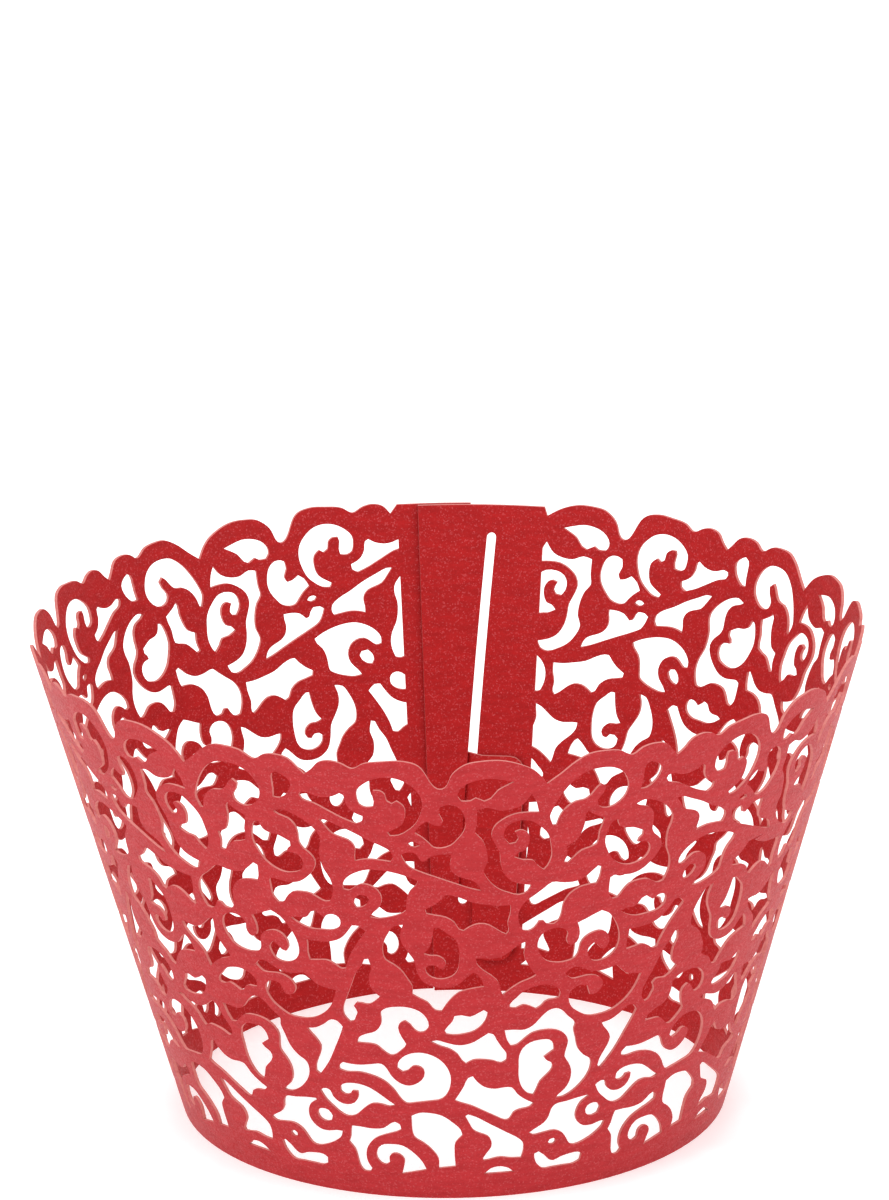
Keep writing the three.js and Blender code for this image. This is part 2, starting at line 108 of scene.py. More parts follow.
# %% Holes under the rim
RIM_HOLES = {
    "crescent": [
        (-2.6, 47.9), (-3.6, 48.2), (-4.5, 48.4), (-5.4, 48.3), (-6.3, 47.9), (-6.9, 47.2),
        (-7, 46.5), (-6.7, 46), (-6, 46), (-5.6, 46.3), (-4.9, 45.9), (-4.4, 46.2), (-3.9, 47),
        (-3.4, 47.4),
    ],
    "hooked_arch": [
        (0.4, 43.8), (0.6, 44.6), (1.2, 46), (2.1, 47.4), (3.2, 48.3), (4.4, 48.5), (5.4, 48.3),
        (6.2, 47.7), (6.7, 46.8), (6.9, 45.8), (6.6, 44.8), (5.9, 44.1), (5.2, 43.9), (4.5, 44.2),
        (4.3, 44.9), (4.7, 45.6), (4.9, 46.3), (4.5, 46.7), (4.2, 46.4), (3.7, 45.6), (3.2, 45.2),
        (2.5, 45.1), (1.8, 44.6), (1.3, 43.8), (1, 42.7), (0.7, 42.7),
    ],
    "drop": [
        (8, 45.4), (8.1, 46.3), (8.1, 47.2), (8.2, 48), (8.6, 48.3), (9.2, 48), (9.7, 47.4),
        (9.6, 46.6), (9.2, 45.9), (8.6, 45.4),
    ],
    "under_leaf": [
        (10.3, 46), (10.4, 46.3), (10.9, 46.4), (11.6, 46.1), (12.3, 46), (13.1, 46.2),
        (13.7, 46.6), (14, 46.4), (14.1, 45.6), (14.4, 44.9), (14.8, 44.5), (15.4, 44.2),
        (15.3, 43.6), (14.8, 43.3), (13.9, 43.7), (12.6, 44.5), (11.5, 45.2), (10.5, 45.6),
    ],
    "curled_arch": [
        (15.1, 45.8), (15.1, 47), (15.7, 47.8), (16.6, 48.4), (17.5, 48.6), (18.5, 48.4),
        (19.3, 47.8), (20, 46.8), (20.2, 45.6), (20, 44.5), (19.6, 43.5), (18.9, 42.7),
        (18.2, 42.2), (17.5, 42.1), (17.3, 42.5), (17.9, 42.9), (18.5, 43.4), (18.8, 44.4),
        (18.7, 45.5), (18.2, 46), (17.8, 45.7), (17.4, 46), (17.3, 46.7), (16.9, 47.1),
        (16.4, 47.1), (16.3, 46.7), (16.4, 45.9), (16.3, 45.3), (15.7, 45.2), (15.2, 45.5),
    ],
    "ring_with_spur": [
        (-8.4, 45.4), (-8, 45.6), (-7.4, 45.6), (-6.8, 45.1), (-6.5, 44.3), (-6.4, 43.3),
        (-6.6, 42.5), (-7.1, 41.7), (-7.6, 41.1), (-8.4, 40.8), (-9, 40.9), (-9.4, 41.4),
        (-9.9, 42), (-10.5, 42.5), (-10.1, 43.3), (-9.5, 43.8), (-8.9, 43.4), (-8.4, 43.3),
        (-8.2, 43.8), (-8.5, 44.6),
    ],
    "beside_ring": [
        (-5.5, 45), (-5.5, 43.4), (-5.6, 42.4), (-5.1, 41.7), (-4.7, 40.5), (-4.6, 39.1),
        (-4.9, 38.2), (-4.5, 37.1), (-3.7, 36.1), (-2.7, 35.5), (-1.8, 35.2), (-1.1, 35.5),
        (-0.8, 36.2), (-1.9, 36.5), (-2.6, 36.9), (-3.2, 37.8), (-3.5, 39), (-3.6, 40.1),
        (-4, 41.1), (-4.3, 42.1), (-4.1, 43), (-3.4, 43.8), (-2.5, 44.3), (-1.5, 44.4),
        (-0.5, 44.3), (-0.8, 45.6), (-1.2, 46.4), (-1.9, 45.3), (-2.7, 44.9), (-3.7, 44.8),
        (-4.7, 45.2),
    ],
    "ring_curl": [
        (-3.3, 42.4), (-3, 43.1), (-2.3, 43.5), (-1.3, 43.5), (-0.4, 42.8), (0.4, 41.7),
        (0.7, 40.4), (0.8, 39.3), (0.5, 38.2), (0.2, 37.8), (-0.4, 38.4), (-0.8, 39), (-1.6, 39.1),
        (-2.4, 39.5), (-2, 40), (-1.5, 40.2), (-1.2, 41), (-1.2, 41.7), (-1.5, 42.3), (-2, 42.5),
        (-2.4, 42.3), (-2.1, 41.5), (-2.3, 41.1), (-2.8, 41), (-3.2, 41.6),
    ],
    "small_slot": [
        (-11.1, 41.3), (-10.8, 41.5), (-10.3, 41.4), (-10.1, 41.1), (-10.5, 40.9), (-10.9, 41),
    ],
    "under_arch": [
        (3.6, 43.9), (4, 43.5), (4.6, 43.1), (5.1, 42.8), (5, 42.1), (4.8, 41.3), (4.8, 40.6),
        (4.7, 40), (4.1, 39.7), (3.4, 39.5), (2.8, 38.9), (2.3, 38.3), (1.9, 38.4), (2.1, 39.3),
        (2, 40.3), (2.8, 40.7), (3.2, 41.6), (3.4, 42.6), (3.4, 43.5),
    ],
    "over_stem": [
        (11.7, 43.5), (12.2, 43.5), (13.2, 43), (14.5, 42.3), (15.7, 41.5), (16.8, 40.9),
        (17.5, 40.3), (17.6, 39.6), (17.4, 39.2), (16.7, 39.3), (15.8, 39.4), (15, 39.3),
        (14.4, 39.1), (14.4, 39.7), (14.5, 40.4), (14.4, 40.9), (14, 41.4), (13.3, 41.7),
        (12.7, 42), (12.2, 42.7),
    ],
}

print(len(RIM_HOLES), "holes under the rim")

# %% Holes in the middle of the sheet
MIDDLE_HOLES = {
    "heart": [
        (5.4, 40.8), (5.6, 41.7), (5.9, 42.3), (6.3, 42.4), (6.6, 41.6), (7.1, 41.3), (7.8, 41.2),
        (8.4, 40.9), (8.9, 40.6), (8.9, 40.1), (8.6, 39.8), (8.5, 39.4), (9.2, 39.3), (9.7, 38.9),
        (9.8, 38.1), (9.4, 37.4), (8.7, 37.1), (8, 37), (7.1, 37.3), (6.2, 38.1), (5.7, 39.1),
        (5.4, 40),
    ],
    "beside_heart": [
        (7.8, 43.8), (8.5, 44.1), (9.5, 43.8), (10.3, 43.3), (11.1, 42.5), (11.6, 41.6),
        (11.6, 40.8), (11.4, 40), (11.4, 39), (11.6, 37.9), (12, 37), (12.2, 36), (12.1, 35.1),
        (11.8, 34.3), (11.3, 34.2), (10.7, 34.5), (10.1, 34.9), (9.2, 35), (8.3, 34.8),
        (7.7, 34.1), (7.3, 33.5), (6.8, 33.4), (6.4, 34), (6.3, 35), (6.3, 35.9), (6.6, 36.1),
        (7.4, 36), (8.2, 35.9), (9.1, 36.1), (10, 36.8), (10.7, 37.8), (10.9, 38.7), (10.5, 39.5),
        (10, 40), (9.7, 40.6), (9.7, 41.6), (9.5, 42.6), (9, 43.2), (8.2, 43.5),
    ],
    "wedge": [
        (-11.7, 40), (-11.3, 40.3), (-10.6, 40.3), (-10.3, 39.9), (-10.1, 39.4), (-9.8, 39.3),
        (-9.2, 39.9), (-8.4, 40.1), (-7.6, 40.1), (-7.6, 39.6), (-7.7, 38.9), (-7.5, 38.1),
        (-7, 37.6), (-6.3, 37.3), (-5.7, 37), (-5.3, 36.5), (-5.1, 35.9), (-6, 36.2), (-7.1, 36.7),
        (-8.6, 37.4), (-10.1, 38.1), (-11.1, 38.7), (-11.5, 39.4),
    ],
    "round_berry": [
        (13.1, 35.8), (13.1, 36.4), (13.5, 37.1), (14.2, 37.7), (15.4, 38.2), (16.6, 38.2),
        (17.9, 37.9), (18.9, 37.5), (19.6, 37.1), (19.4, 36.6), (18.9, 36), (18.6, 35.2),
        (18.5, 34.4), (18.4, 33.7), (17.9, 33.3), (16.9, 32.9), (15.9, 32.7), (15.2, 32.8),
        (15.6, 33.4), (16.2, 34.1), (16.4, 35), (16.1, 35.9), (15.5, 36.4), (14.7, 36.5),
        (14.1, 36.1), (13.6, 35.7),
    ],
    "berry_eye": [
        (13.9, 34.2), (14.1, 34.9), (14.5, 35.3), (15.1, 35.2), (15.3, 34.8), (15, 34.2),
        (14.6, 33.9), (14.1, 33.8),
    ],
    "hammock": [
        (-9.9, 33.9), (-9.1, 34.4), (-8.5, 35), (-8.1, 35.5), (-7.7, 35.5), (-6.9, 35.2),
        (-5.8, 34.6), (-4.6, 34.3), (-3.4, 34.1), (-2.5, 34.1), (-2.5, 33.2), (-2.7, 32.1),
        (-2.6, 31.1), (-2.8, 30.8), (-3.3, 31.1), (-4, 31.7), (-4.7, 32.1), (-5.5, 32.1),
        (-6.1, 31.8), (-6.6, 31.4), (-7, 31.6), (-7.4, 32.4), (-8.2, 33), (-9, 33.2), (-9.8, 33.4),
    ],
    "swan": [
        (5.4, 37.3), (5, 37.5), (4.6, 37.1), (4, 36.5), (3.2, 36.1), (2.1, 36.1), (1, 36.3),
        (0.3, 35.7), (-0.5, 35), (-1.2, 34.4), (-1.7, 33.5), (-1.8, 32.6), (-1.6, 31.7),
        (-1.3, 31.1), (-0.8, 31), (-0.3, 31.3), (0.1, 32), (0.5, 32), (0.8, 31.6), (1.5, 31.5),
        (1.9, 31.9), (2.1, 32.7), (2.2, 33.7), (2.7, 34.7), (3.5, 35.3), (4.5, 35.5), (5.1, 35.5),
        (5.3, 36.1),
    ],
    "double_curl": [
        (0.1, 29.5), (0.4, 30.4), (1.1, 30.9), (2, 31), (2.6, 30.7), (2.9, 30.2), (2.8, 29.6),
        (3, 29), (3.3, 28.8), (3.8, 29.1), (4, 30), (3.9, 30.7), (3.7, 31.3), (4.4, 31.6),
        (5.2, 32), (5.9, 32.3), (6.7, 31.8), (7.4, 30.8), (7.9, 29.7), (8.1, 28.6), (7.9, 27.5),
        (7.1, 26.7), (6.2, 26.5), (5.5, 26.7), (5.1, 27.3), (5, 28.1), (5.5, 28.7), (5.9, 28.4),
        (6.3, 27.9), (6.7, 27.8), (7, 28.3), (7, 29), (6.6, 29.7), (6, 30), (5.3, 29.9),
        (4.6, 29.5), (4.2, 28.8), (4.1, 27.9), (3.8, 27.3), (3, 27), (2.1, 27), (1, 27.4),
        (0.3, 28.4),
    ],
    "smile": [
        (7.8, 31.8), (8.2, 32), (8.9, 32), (9.4, 32.2), (9.8, 32.8), (10.3, 33), (10.6, 32.7),
        (11, 32.4), (11.4, 32.7), (11.9, 32.8), (12.4, 32.5), (12.5, 31.9), (12.3, 31.4),
        (11.7, 31), (10.6, 30.9), (9.5, 30.9), (8.5, 31.3),
    ],
    "kite": [
        (9, 29.5), (10.1, 29.5), (11.2, 29.6), (12.3, 30.1), (13, 30.9), (13.5, 31.7),
        (14.1, 31.7), (14.7, 31.1), (14, 30), (13.3, 28.8), (12.8, 27.7), (12.5, 26.7), (12, 26.6),
        (11.5, 27), (10.7, 27.4), (9.8, 27.3), (9, 27.2), (8.9, 28.1), (9, 28.9),
    ],
    "star": [
        (-1, 29.8), (-1.6, 29.5), (-2.3, 28.9), (-3.1, 28.3), (-4, 28.1), (-4.9, 28.2),
        (-5.5, 28.2), (-5.4, 27.6), (-4.8, 26.8), (-4.1, 26.2), (-3.4, 25.4), (-3.1, 24.3),
        (-2.9, 23.8), (-2.4, 24.3), (-1.3, 25.1), (-0.3, 25.5), (0.2, 25.8), (-0.3, 26.5),
        (-0.8, 27.4), (-1.1, 28.4), (-1, 29.3),
    ],
    "beside_bud": [
        (-11.9, 32.1), (-12.7, 31.9), (-13.3, 31), (-13.8, 29.8), (-13.9, 28.8), (-13.7, 28),
        (-13, 27.5), (-12.3, 26.8), (-11.8, 25.9), (-11.4, 25.1), (-11.4, 24.1), (-10.8, 23.7),
        (-10, 23.2), (-9.3, 22.3), (-8.7, 22.2), (-8.3, 22.9), (-7.8, 23.6), (-7.1, 24.3),
        (-6, 24.7), (-4.7, 24.9), (-4.9, 25.6), (-5.3, 26.3), (-5.7, 26.6), (-6.2, 26.2),
        (-7.2, 25.2), (-8.4, 24.9), (-9.6, 25.1), (-10.5, 25.8), (-10.9, 26.9), (-11.1, 28.1),
        (-11.6, 29), (-12.1, 30), (-12.2, 31),
    ],
    "hooked_ring": [
        (-9.2, 31.8), (-8.8, 31.8), (-8.1, 31.2), (-7.3, 30.4), (-7, 29.2), (-7, 27.9),
        (-7.2, 26.8), (-7.7, 26.2), (-8.7, 25.9), (-9.5, 26.1), (-10, 26.6), (-10.1, 27.2),
        (-9.7, 27.5), (-9.2, 27.5), (-8.8, 27.1), (-8.4, 27.2), (-8.2, 27.6), (-8.4, 28.2),
        (-9, 28.6), (-9.6, 28.6), (-10.2, 28.8), (-9.7, 29.5), (-9.4, 30.5),
    ],
    "over_bud": [
        (-2.2, 22.3), (-2.2, 22.7), (-1.6, 23.4), (-0.9, 24.1), (0.1, 24.5), (1.2, 24.6),
        (2.2, 24.2), (2.7, 23.5), (2.6, 22.9), (2.2, 22.8), (1.6, 22.8), (1.2, 22.6), (0.9, 22.2),
        (0.4, 21.9), (-0.3, 22.3), (-0.9, 22.5), (-1.6, 22.2),
    ],
    "pod_left": [
        (-8.5, 19.9), (-8.1, 20.5), (-7.7, 21), (-7.5, 21.6), (-6.8, 21.7), (-6, 21.5),
        (-5.2, 21.9), (-4.7, 22.2), (-4.3, 21.9), (-4.4, 21.3), (-4.8, 20.5), (-5.6, 19.8),
        (-6.6, 19.5), (-7.6, 19.4), (-8.3, 19.5),
    ],
    "big_curl": [
        (3, 25.6), (3.5, 26.1), (4.2, 26.2), (4.8, 25.9), (5.5, 25.5), (6.5, 25.3), (7.4, 25.4),
        (8.2, 25.6), (8.7, 25.1), (9.3, 24.5), (10.1, 24.2), (11.2, 24), (10.8, 22.8),
        (10.3, 21.9), (9.4, 21), (8.3, 20.4), (7.1, 20.2), (5.8, 20.3), (4.9, 20.8), (4, 21.6),
        (3.6, 22.6), (3.7, 23.4), (4.2, 23.9), (4.8, 24), (5.4, 23.8), (5.6, 23.2), (5.8, 22.7),
        (6.3, 22.7), (6.8, 23.1), (7, 23.7), (6.8, 24.3), (6.2, 24.8), (5.3, 25), (4.4, 24.9),
        (3.7, 24.9),
    ],
    "stem_side": [
        (14.7, 28), (14.3, 27.9), (13.9, 27), (13.3, 26.1), (12.8, 24.8), (12.1, 23.1),
        (11.7, 22.1), (11.7, 21.2), (12.2, 20.5), (12.6, 20.6), (12.9, 21.2), (13.1, 21.7),
        (12.8, 22.4), (13.1, 22.8), (13.6, 22.8), (14.2, 22.7), (14.8, 23), (15.5, 23.7),
        (14.8, 24.4), (14.6, 25.1), (14.6, 26), (14.9, 26.9),
    ],
    "crook": [
        (15.4, 21.9), (16, 22.4), (16.9, 22.6), (18, 22.6), (19.1, 22.2), (19.8, 21.4), (20, 20.5),
        (19.7, 19.9), (19.1, 19.7), (18.6, 20), (18.2, 20.6), (17.7, 21), (17.2, 20.7), (17, 20.2),
        (17.2, 19.3), (17.7, 18.3), (17.5, 17.9), (17, 17.4), (16.5, 17), (16, 16.9), (15.4, 17.3),
        (14.6, 18), (13.7, 18.1), (12.7, 18.1), (12.9, 18.7), (13.7, 19.2), (14.7, 19.6),
        (15.3, 20.4), (15.4, 21.2),
    ],
}

print(len(MIDDLE_HOLES), "holes in the middle")

# %% Holes down to the band at the foot
LOWER_HOLES = {
    "long_arm_curl": [
        (10.4, 14.7), (10.4, 15.1), (10.9, 15.6), (11.7, 15.5), (12.8, 15.5), (14, 15.7),
        (15, 15.8), (15.5, 15.3), (15.9, 14.5), (16.7, 13.7), (17.7, 13.4), (18.7, 13.8),
        (19.3, 14.5), (19.3, 15.3), (18.8, 15.7), (18.2, 15.7), (17.7, 15.2), (17.1, 15),
        (16.6, 15.4), (16.7, 16), (17.2, 16.7), (18.1, 17.2), (19.3, 17.3), (20.6, 16.8),
        (21.5, 15.9), (22, 14.7), (22, 13.6), (21.7, 12.6), (21.1, 11.9), (19.7, 11.6),
        (18.3, 11.4), (17.3, 11.3), (16.8, 11.7), (16.1, 12.8), (15.1, 13.8), (13.7, 14.4),
        (12.4, 14.6), (11.1, 14.5),
    ],
    "under_pod": [
        (-9.9, 18.6), (-9.3, 18.8), (-8.3, 18.5), (-7.1, 18.2), (-5.9, 18.4), (-4.9, 19),
        (-4.2, 19.5), (-3.7, 19.3), (-3.4, 18.7), (-2.8, 17.7), (-2.3, 16.9), (-2.3, 16.2),
        (-2.8, 15.9), (-3.6, 16.2), (-4.6, 16.4), (-5.7, 16.4), (-6.4, 16), (-6.8, 16.4),
        (-7.2, 17.1), (-7.9, 17.7), (-8.9, 18.1),
    ],
    "tall_arch": [
        (-2.6, 19.7), (-1.8, 19.7), (-0.6, 19.6), (0.2, 20), (0.9, 20.8), (1.6, 21.5), (2.4, 21.7),
        (3, 21.4), (3.7, 20.6), (4.6, 19.6), (4.5, 19), (4.8, 17.9), (5.2, 16.6), (5.9, 15.7),
        (6.8, 15), (6.9, 13.9), (6.4, 12.8), (5.3, 11.7), (4.1, 11.1), (3.3, 11.1), (3.5, 11.4),
        (4.2, 12), (4.7, 13), (4.7, 14.2), (4.3, 15.1), (3.8, 15.9), (3.9, 16.8), (4, 17.7),
        (3.6, 18.5), (2.7, 19.1), (1.5, 19.3), (0.2, 19.1), (-0.6, 18.5), (-1.3, 17.9),
        (-1.9, 17.8), (-2.3, 18.5),
    ],
    "bean": [
        (-1, 15.3), (-1, 16.6), (-0.7, 17.4), (0, 18), (0.9, 18.2), (2, 18.1), (2.5, 17.5),
        (2.6, 16.8), (2, 16.4), (1.6, 16.1), (1.9, 15.7), (2.5, 15.3), (2.6, 14.7), (2.1, 14),
        (1.4, 13.3), (1.1, 12.5), (0.8, 11.8), (0.2, 12), (-0.5, 12.8), (-0.9, 13.9),
    ],
    "dagger": [
        (7.5, 19.1), (8.5, 19.3), (9.5, 19.9), (10.3, 20.5), (10.9, 20.4), (11.4, 19.8),
        (11.1, 19), (10.4, 17.5), (9.5, 15.7), (8.6, 14.4), (8.1, 13.8), (7.7, 14.1), (7.8, 14.8),
        (8.1, 15.5), (8.5, 16.3), (8.7, 17.2), (8.3, 18), (7.8, 18.6),
    ],
    "vee": [
        (-7.6, 11.7), (-7.1, 12.5), (-6.6, 13.4), (-6.2, 14.3), (-5.7, 14.5), (-5.3, 13.9),
        (-4.5, 13.2), (-3.4, 12.9), (-2.3, 13), (-1.6, 12.9), (-1, 12.1), (0, 11.3), (0.9, 10.8),
        (0.5, 10.4), (-0.7, 10.2), (-1.3, 9.9), (-1.7, 9.2), (-2.2, 9.1), (-3, 9.5), (-4.3, 10.2),
        (-5.8, 11), (-7.2, 11.5),
    ],
    "fish": [
        (7.8, 11.8), (8, 12), (8.5, 12.2), (9, 12), (9.2, 11.4), (9.8, 10.8), (10.7, 10.6),
        (11.6, 10.9), (12.1, 11.7), (12.1, 12.3), (11.5, 12.3), (11.2, 11.9), (10.6, 11.8),
        (10.2, 12.1), (10.2, 12.6), (10.6, 13), (11.3, 13.2), (12.3, 13.2), (13.4, 12.9),
        (14.5, 12.2), (15.4, 11.5), (16.1, 11), (15.4, 10.8), (14.6, 11), (13.6, 11), (12.9, 10.6),
        (12.2, 10), (11.5, 9.4), (10.6, 9.2), (10, 9.4), (9.1, 10.1), (8.3, 10.9),
    ],
    "low_berry": [
        (7, 9), (7.2, 9.5), (7.7, 9.7), (8.4, 9.6), (8.8, 9), (8.6, 8.4), (8, 8.2), (7.3, 8.4),
    ],
    "round_low_berry": [
        (0.6, 7.3), (1.2, 7.7), (2.2, 8.3), (2.7, 9), (2.9, 9.8), (3.3, 10.3), (4.6, 10.5),
        (5.9, 10.7), (7.1, 10.8), (7.2, 10.6), (6.4, 10.1), (6, 9.4), (5.9, 8.5), (6.3, 7.7),
        (7, 7.2), (8.1, 7.1), (9, 7.3), (9.7, 7.3), (9.5, 6.7), (8.7, 6), (7.5, 5.4), (6.2, 5.1),
        (5.6, 5.3), (5.1, 6), (4.6, 6.7), (3.6, 7.2), (2.2, 7.1), (1.1, 7),
    ],
    "stem_dot": [
        (2.9, 5.9), (3.1, 6.2), (3.5, 6.3), (3.8, 6.1), (3.8, 5.8), (3.6, 5.6), (3.2, 5.6),
    ],
    "boat": [
        (1.4, 4.7), (1.9, 4.9), (2.6, 4.4), (3.2, 3.8), (3.8, 3.6), (4.6, 3.9), (5.8, 4.1),
        (6.8, 4.1), (7.3, 3.8), (7.2, 3.1), (6.5, 2.8), (5.3, 2.8), (3.8, 2.8), (2.6, 2.8),
        (1.8, 3.5), (1.5, 4.1),
    ],
    "foot_left": [
        (10.3, 6.1), (10.6, 6.8), (10.7, 7.5), (10.9, 8.1), (11.9, 8.1), (13.2, 8), (14.6, 8.2),
        (15.4, 8.8), (15.9, 9), (16.4, 8.7), (16.5, 8.1), (15.9, 7.8), (14.7, 7.4), (13.4, 6.8),
        (12.5, 5.8), (12.2, 4.8), (12.3, 3.9), (12.7, 3.2), (12.4, 2.8), (11.7, 2.8), (11.3, 3.3),
        (11.1, 4.3), (10.9, 5.3),
    ],
    "foot_curl": [
        (13.4, 4.6), (13.5, 5.4), (14.1, 6.1), (15.2, 6.3), (16.5, 6.2), (17.7, 5.4), (18.6, 4.4),
        (19.1, 3.4), (16.2, 2.8), (16.5, 3.8), (16.6, 4.5), (16.1, 5.1), (15.4, 5.2), (14.9, 4.8),
        (14.9, 4.1), (14.4, 3.8), (13.8, 4),
    ],
    "foot_bell": [
        (17.7, 9.8), (18.6, 10.2), (19.8, 10.2), (21, 9.9), (22, 9.2), (23, 8.2), (23.2, 7.5),
        (22.7, 7), (22.4, 6.6), (22.3, 5.6), (22.4, 3.8), (20.5, 3.6), (20.5, 4.7), (19.8, 5.8),
        (18.9, 6.6), (17.9, 7.3), (17.7, 8.1), (17.7, 8.9),
    ],
    "foot_leaf": [
        (-6.5, 9.8), (-6.2, 10), (-5.4, 9.7), (-3.9, 8.8), (-1.9, 7.6), (-0.6, 6.8), (0, 6.2),
        (0.1, 5.2), (-0.1, 4.4), (-1.4, 4.5), (-2.5, 4.7), (-3.7, 4.5), (-4.4, 4.4), (-4.5, 4.7),
        (-4.1, 5.3), (-3.6, 6), (-3.6, 6.7), (-4, 7.3), (-4.9, 7.7), (-5.6, 8.1), (-6, 8.8),
    ],
    "foot_moon": [
        (-4.7, 2.8), (-4.4, 2.8), (-3.6, 3.4), (-2.5, 3.6), (-1.5, 3.3), (-0.8, 2.8), (-0.5, 2.8),
    ],
}

print(len(LOWER_HOLES), "holes low down")

# %% Scallops along the top
SCALLOPS = [
    (-8.6, 47.4), (-8, 47.5), (-7.4, 49), (-6.4, 50), (-5.2, 50.3), (-3.7, 50.3), (-2.3, 49.8),
    (-1.1, 49), (-0.4, 48.1), (0, 47.4), (1, 48.3), (2.2, 49.5), (3.3, 50.2), (4.4, 50.3),
    (5.7, 50.1), (6.9, 49.4), (7.7, 50), (8.8, 50.2), (9.8, 49.9), (10.5, 49), (11, 48.4),
    (11.6, 49), (12.2, 49.8), (13.1, 50.1), (14, 49.9), (14.9, 49.4), (15.8, 50), (17.3, 50.3),
    (18.7, 50.4), (20, 49.9),
]

print(len(SCALLOPS), "points for the scallops of one repeat")

# %% [markdown]
# ## Smooth lines with sharp tips
# A laser follows smooth curves, but leaves and hooks end in sharp tips. So each stretch between
# two points becomes a small Bezier curve whose handles follow the line's direction. Wherever the
# line turns hard, the handles point straight along the two sides, which keeps the tip.

# %% A smooth line through points
SHARP_TURN = radians(52)
FINE_STEP = 0.5


def directions(spots, place, closed):
    """The line's direction just before and just after one of its points."""
    last = len(spots) - 1
    before = spots[place] - spots[place - 1] if place or closed else None
    after = spots[(place + 1) % len(spots)] - spots[place] if place < last or closed else None
    if before is None or after is None:
        only = (before or after).normalized()
        return only, only
    before, after = before.normalized(), after.normalized()
    if before.angle(after) > SHARP_TURN:
        return before, after
    middle = (before + after).normalized()
    return middle, middle


def smoothed(points, closed=True):
    spots = [Vector(point) for point in points]
    line = []
    for place in range(len(spots) if closed else len(spots) - 1):
        following = (place + 1) % len(spots)
        start, end = spots[place], spots[following]
        reach = (end - start).length / 3
        leaving = start + directions(spots, place, closed)[1] * reach
        arriving = end - directions(spots, following, closed)[0] * reach
        steps = max(1, ceil(3 * reach / FINE_STEP))
        line += interpolate_bezier(start, leaving, arriving, end, steps + 1)[:-1]
    if not closed:
        line.append(spots[-1])
    return [tuple(spot[:2]) for spot in line]


drawn_holes = [smoothed(points) for row in (RIM_HOLES, MIDDLE_HOLES, LOWER_HOLES)
               for points in row.values()]
print(sum(len(line) for line in drawn_holes), "points in the smooth holes of one repeat")

# %% [markdown]
# ## From the drawing to the sheet
# The lattice stops at two upright lines: a plain panel with the slit lies at the inner end, and a
# plain strip with the tab at the outer end. A hole that crosses such a line is cut off along it.

# %% Place the repeats round the cone
FRONT_REPEAT = -77
REPEAT_TURN = 51.2
PANEL_LATTICE = 75.2
OUTER_LATTICE = -263
DRAWN_WIDTH = 30
DRAWN_BAND = 2.8
DRAWN_TIP = 50.3
FIRST_REPEAT = floor((OUTER_LATTICE - FRONT_REPEAT) / REPEAT_TURN) - 1
LAST_REPEAT = ceil((PANEL_LATTICE - FRONT_REPEAT) / REPEAT_TURN) + 1


def placed(point, repeat):
    across, drawn_up = point
    stretch = (SLANT - BAND) / (DRAWN_TIP - DRAWN_BAND)
    turn = FRONT_REPEAT + REPEAT_TURN * (repeat + across / DRAWN_WIDTH)
    return turn, BAND + (drawn_up - DRAWN_BAND) * stretch


def kept_pieces(outline, limit, side):
    """Cuts a closed outline along a line of equal turn and keeps the pieces on one side."""
    inside = [(limit - turn) * side > 0 for turn, _ in outline]
    if all(inside):
        return [outline]
    if not any(inside):
        return []
    count = len(outline)
    start = inside.index(False)
    chains = []
    for step in range(start, start + count):
        here, there = step % count, (step + 1) % count
        if inside[here] and inside[there]:
            chains[-1].append(outline[there])
        elif inside[here] != inside[there]:
            share = (limit - outline[here][0]) / (outline[there][0] - outline[here][0])
            up = outline[here][1] + share * (outline[there][1] - outline[here][1])
            if inside[there]:
                chains.append([(limit, up), outline[there]])
            else:
                chains[-1].append((limit, up))
    ends = sorted([(chain[0][1], place, True) for place, chain in enumerate(chains)]
                  + [(chain[-1][1], place, False) for place, chain in enumerate(chains)])
    following = {}
    for low, high in zip(ends[::2], ends[1::2]):
        for this, other in ((low, high), (high, low)):
            if not this[2]:
                following[this[1]] = other[1]
    pieces, used = [], set()
    for place in range(len(chains)):
        piece = []
        while place not in used:
            used.add(place)
            piece += chains[place]
            place = following[place]
        if piece:
            pieces.append(piece)
    return pieces


def area(outline):
    """Area in square millimetres, close enough to tell a sliver from a hole."""
    ring = [(radians(turn) * radius_at(up), up) for turn, up in outline]
    return abs(sum(a[0] * b[1] - b[0] * a[1] for a, b in zip(ring, ring[1:] + ring[:1]))) / 2


SLIVER = 0.25
holes = []
for repeat in range(FIRST_REPEAT, LAST_REPEAT + 1):
    for line in drawn_holes:
        for piece in kept_pieces([placed(point, repeat) for point in line], PANEL_LATTICE, 1):
            holes += kept_pieces(piece, OUTER_LATTICE, -1)
holes = [hole for hole in holes if area(hole) > SLIVER]
print(len(holes), "holes in the whole sheet")

# %% [markdown]
# ## The closure
# The slit leans a little, so every part of the closure is measured from the slit's own line. The
# tab is a neck that dips through the slit and a tongue that hooks down behind the panel.

# %% The slit
SLIT_TOP_TURN = 83
SLIT_FOOT_TURN = 87.7
SLIT_FOOT = 8.8
SLIT_BELOW_TIPS = 3.2
SLIT_TOP = SLANT - SLIT_BELOW_TIPS
SLIT_WIDTH = 0.95
SIDE_STEPS = 6
ROUND_END = (-60, -30, 0, 30, 60)


def seam_turn(up):
    share = (up - SLIT_FOOT) / (SLIT_TOP - SLIT_FOOT)
    return SLIT_FOOT_TURN + share * (SLIT_TOP_TURN - SLIT_FOOT_TURN)


def beside_seam(width, up):
    return seam_turn(up) + turn_of(width, up), up


def one_turn_back(point):
    return point[0] - FULL_TURN, point[1]


